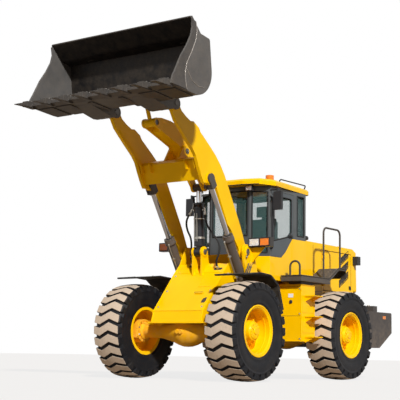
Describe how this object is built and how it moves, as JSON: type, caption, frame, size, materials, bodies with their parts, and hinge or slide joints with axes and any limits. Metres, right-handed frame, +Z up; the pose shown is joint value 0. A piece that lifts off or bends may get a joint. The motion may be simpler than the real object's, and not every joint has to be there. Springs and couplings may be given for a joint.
{
  "type": "articulated wheel loader",
  "caption": "Articulated wheel loader: a bucket on a raised boom with its tilt linkage, a glazed cab ahead of the engine hood, and broad earthmover tyres.",
  "frame": {"origin": "centre of the machine's box at ground level, bucket raised and level, frames in line", "axes": "+X forward towards the bucket, +Y to the operator's left, +Z up"},
  "size_m": [6.932, 2.424, 4.5708],
  "materials": {
    "body_paint": "saturated yellow gloss paint with faint dust",
    "dark_paint": "near-black satin paint",
    "trim_paint": "dark grey-brown satin paint",
    "bucket_paint": "dark grey-brown paint, scuffed",
    "edge_steel": "bare worn steel",
    "axle_paint": "yellow paint over rough castings, dusty",
    "rim_paint": "yellow gloss paint",
    "tyre": "black rubber, dusty lug tops",
    "chrome": "polished chrome plating",
    "pin_steel": "turned steel",
    "cast_iron": "painted casting",
    "glass": "green-tinted clear glass",
    "seat_fabric": "dark woven upholstery",
    "black_plastic": "black grained plastic",
    "lamp": "clear lens over a bright reflector",
    "hose_rubber": "black hose rubber, satin",
    "amber_lamp": "amber lens"
  },
  "bodies": {
    "rear_chassis": {"rear_frame": "dark_paint", "rear_axle": "axle_paint", "driveline": "cast_iron", "engine_block": "cast_iron", "counterweight": "dark_paint", "left_box": "body_paint", "right_box": "body_paint", "steps": "body_paint", "side_decks": "dark_paint", "handrails": "dark_paint", "hood": "body_paint", "rear_lamps": "amber_lamp", "cab_frame": "trim_paint", "cab_roof": "body_paint", "cab_glass": "glass", "seat_base": "black_plastic", "seat_cushions": "seat_fabric", "controls": "black_plastic", "mirrors": "black_plastic", "roof_lamps": "lamp"},
    "front_chassis": {"front_frame": "body_paint", "front_axle": "axle_paint", "front_fenders": "dark_paint", "head_lamps": "lamp", "tilt_hoses": "hose_rubber"},
    "boom": {"boom_arm_left": "body_paint", "boom_arm_right": "body_paint", "boom_beam": "body_paint"},
    "bellcrank_pivot": {"bellcrank_pin": "pin_steel"},
    "bellcrank_body": {"bellcrank": "body_paint"},
    "link_pivot": {"link_pin": "pin_steel"},
    "link_body": {"bucket_link": "dark_paint"},
    "bucket_pin_pair": {"bucket_pins": "pin_steel"},
    "bucket_body": {"bucket": "bucket_paint", "cutting_edge": "edge_steel"},
    "tilt_cylinder": {"tilt_barrel": "dark_paint"},
    "tilt_piston": {"tilt_rod": "chrome"},
    "rear_grille_leaf": {"rear_grille": "dark_paint"},
    "wheel_front_left": {"rim_front_left": "rim_paint", "tyre_front_left": "tyre"},
    "wheel_front_right": {"rim_front_right": "rim_paint", "tyre_front_right": "tyre"},
    "wheel_rear_left": {"rim_rear_left": "rim_paint", "tyre_rear_left": "tyre"},
    "wheel_rear_right": {"rim_rear_right": "rim_paint", "tyre_rear_right": "tyre"},
    "lift_cylinder_left": {"lift_barrel_left": "trim_paint"},
    "lift_piston_left": {"lift_rod_left": "chrome"},
    "steer_cylinder_left": {"steer_barrel_left": "dark_paint"},
    "steer_piston_left": {"steer_rod_left": "chrome"},
    "cab_door_leaf_left": {"cab_door_left": "trim_paint", "door_glass_left": "glass"},
    "hood_door_leaf_left": {"hood_door_left": "body_paint"},
    "lift_cylinder_right": {"lift_barrel_right": "trim_paint"},
    "lift_piston_right": {"lift_rod_right": "chrome"},
    "steer_cylinder_right": {"steer_barrel_right": "dark_paint"},
    "steer_piston_right": {"steer_rod_right": "chrome"},
    "cab_door_leaf_right": {"cab_door_right": "trim_paint", "door_glass_right": "glass"},
    "hood_door_leaf_right": {"hood_door_right": "body_paint"}
  },
  "joints": [
    {"name": "steering", "type": "hinge", "parent": "rear_chassis", "child": "front_chassis", "pos_m": [-0.191, 0, 0.85], "axis": [0, 0, 1], "range_deg": [-35, 35]},
    {"name": "wheel_spin_front_left", "type": "hinge", "parent": "front_chassis", "child": "wheel_front_left", "pos_m": [1.109, 0.96, 0.675], "axis": [0, 1, 0], "continuous": true},
    {"name": "wheel_spin_front_right", "type": "hinge", "parent": "front_chassis", "child": "wheel_front_right", "pos_m": [1.109, -0.96, 0.675], "axis": [0, 1, 0], "continuous": true},
    {"name": "wheel_spin_rear_left", "type": "hinge", "parent": "rear_chassis", "child": "wheel_rear_left", "pos_m": [-1.491, 0.96, 0.675], "axis": [0, 1, 0], "continuous": true},
    {"name": "wheel_spin_rear_right", "type": "hinge", "parent": "rear_chassis", "child": "wheel_rear_right", "pos_m": [-1.491, -0.96, 0.675], "axis": [0, 1, 0], "continuous": true},
    {"name": "boom_lift", "type": "hinge", "parent": "front_chassis", "child": "boom", "pos_m": [0.569, 0, 1.8], "axis": [0, -1, 0], "range_deg": [-87, 1]},
    {"name": "bucket_levelling", "type": "hinge", "parent": "boom", "child": "bucket_pin_pair", "pos_m": [2.239, 0, 3.635], "axis": [0, 1, 0], "range_deg": [-88, 2]},
    {"name": "bucket_tilt", "type": "hinge", "parent": "bucket_pin_pair", "child": "bucket_body", "pos_m": [2.239, 0, 3.635], "axis": [0, 1, 0], "range_deg": [-38, 38]},
    {"name": "bellcrank_levelling", "type": "hinge", "parent": "boom", "child": "bellcrank_pivot", "pos_m": [1.389, 0, 3.17], "axis": [0, -1, 0], "range_deg": [-27.28, 0.62]},
    {"name": "bellcrank_swing", "type": "hinge", "parent": "bellcrank_pivot", "child": "bellcrank_body", "pos_m": [1.389, 0, 3.17], "axis": [0, -1, 0], "range_deg": [-6.43, 6.43]},
    {"name": "link_levelling", "type": "hinge", "parent": "bellcrank_body", "child": "link_pivot", "pos_m": [2.061, 0, 3.462], "axis": [0, -1, 0], "range_deg": [-1.36, 59.84]},
    {"name": "link_swing", "type": "hinge", "parent": "link_pivot", "child": "link_body", "pos_m": [2.061, 0, 3.462], "axis": [0, -1, 0], "range_deg": [-24.18, 24.18]},
    {"name": "lift_cylinder_swing_left", "type": "hinge", "parent": "front_chassis", "child": "lift_cylinder_left", "pos_m": [0.379, 0.515, 1.15], "axis": [0, -1, 0], "range_deg": [-64.54, 1.47]},
    {"name": "lift_rod_slide_left", "type": "slide", "parent": "lift_cylinder_left", "child": "lift_piston_left", "axis": [0.541, 0, 0.841], "range_m": [-0.71946, 0.01635]},
    {"name": "lift_cylinder_swing_right", "type": "hinge", "parent": "front_chassis", "child": "lift_cylinder_right", "pos_m": [0.379, -0.515, 1.15], "axis": [0, -1, 0], "range_deg": [-64.54, 1.47]},
    {"name": "lift_rod_slide_right", "type": "slide", "parent": "lift_cylinder_right", "child": "lift_piston_right", "axis": [0.541, 0, 0.841], "range_m": [-0.71946, 0.01635]},
    {"name": "tilt_cylinder_swing", "type": "hinge", "parent": "front_chassis", "child": "tilt_cylinder", "pos_m": [0.879, 0, 1.795], "axis": [0, -1, 0], "range_deg": [-95.92, 2.18]},
    {"name": "tilt_rod_slide", "type": "slide", "parent": "tilt_cylinder", "child": "tilt_piston", "axis": [0.043, 0, 0.9991], "range_m": [-0.039, 0.039]},
    {"name": "steer_cylinder_swing_left", "type": "hinge", "parent": "rear_chassis", "child": "steer_cylinder_left", "pos_m": [-0.751, 0.19, 0.85], "axis": [0, 0, 1], "range_deg": [-9.49, 9.49]},
    {"name": "steer_rod_slide_left", "type": "slide", "parent": "steer_cylinder_left", "child": "steer_piston_left", "axis": [0.9968, 0.0797, 0], "range_m": [-0.14333, 0.14333]},
    {"name": "steer_cylinder_swing_right", "type": "hinge", "parent": "rear_chassis", "child": "steer_cylinder_right", "pos_m": [-0.751, -0.19, 0.85], "axis": [0, 0, 1], "range_deg": [-9.49, 9.49]},
    {"name": "steer_rod_slide_right", "type": "slide", "parent": "steer_cylinder_right", "child": "steer_piston_right", "axis": [0.9968, -0.0797, 0], "range_m": [-0.14333, 0.14333]},
    {"name": "cab_door_left_swing", "type": "hinge", "parent": "rear_chassis", "child": "cab_door_leaf_left", "pos_m": [-0.041, 0.6365, 2.28], "axis": [0, 0, 1], "range_deg": [-75, 0]},
    {"name": "cab_door_right_swing", "type": "hinge", "parent": "rear_chassis", "child": "cab_door_leaf_right", "pos_m": [-0.041, -0.6365, 2.28], "axis": [0, 0, 1], "range_deg": [0, 75]},
    {"name": "hood_door_left_swing", "type": "hinge", "parent": "rear_chassis", "child": "hood_door_leaf_left", "pos_m": [-1.691, 0.5765, 1.705], "axis": [0, 0, 1], "range_deg": [-80, 0]},
    {"name": "hood_door_right_swing", "type": "hinge", "parent": "rear_chassis", "child": "hood_door_leaf_right", "pos_m": [-1.691, -0.5765, 1.705], "axis": [0, 0, 1], "range_deg": [0, 80]},
    {"name": "rear_grille_swing", "type": "hinge", "parent": "rear_chassis", "child": "rear_grille_leaf", "pos_m": [-2.8275, 0.42, 1.72], "axis": [0, 0, -1], "range_deg": [0, 80]}
  ],
  "couplings": [
    {"joint": "bucket_levelling", "follows": "boom_lift", "ratio": 1},
    {"joint": "bellcrank_levelling", "follows": "boom_lift", "ratio": 0.31},
    {"joint": "bellcrank_swing", "follows": "bucket_tilt", "ratio": 0.165},
    {"joint": "link_levelling", "follows": "boom_lift", "ratio": -0.68},
    {"joint": "link_swing", "follows": "bucket_tilt", "ratio": -0.62},
    {"joint": "lift_cylinder_swing_left", "follows": "boom_lift", "ratio": 0.73343},
    {"joint": "lift_rod_slide_left", "follows": "boom_lift", "m_per_rad": 0.46843},
    {"joint": "lift_cylinder_swing_right", "follows": "boom_lift", "ratio": 0.73343},
    {"joint": "lift_rod_slide_right", "follows": "boom_lift", "m_per_rad": 0.46843},
    {"joint": "tilt_cylinder_swing", "follows": "boom_lift", "ratio": 1.09},
    {"joint": "tilt_rod_slide", "follows": "bucket_tilt", "m_per_rad": -0.057296},
    {"joint": "steer_cylinder_swing_left", "follows": "steering", "ratio": 0.26374},
    {"joint": "steer_rod_slide_left", "follows": "steering", "m_per_rad": -0.22812},
    {"joint": "steer_cylinder_swing_right", "follows": "steering", "ratio": 0.26374},
    {"joint": "steer_rod_slide_right", "follows": "steering", "m_per_rad": 0.22812}
  ]
}
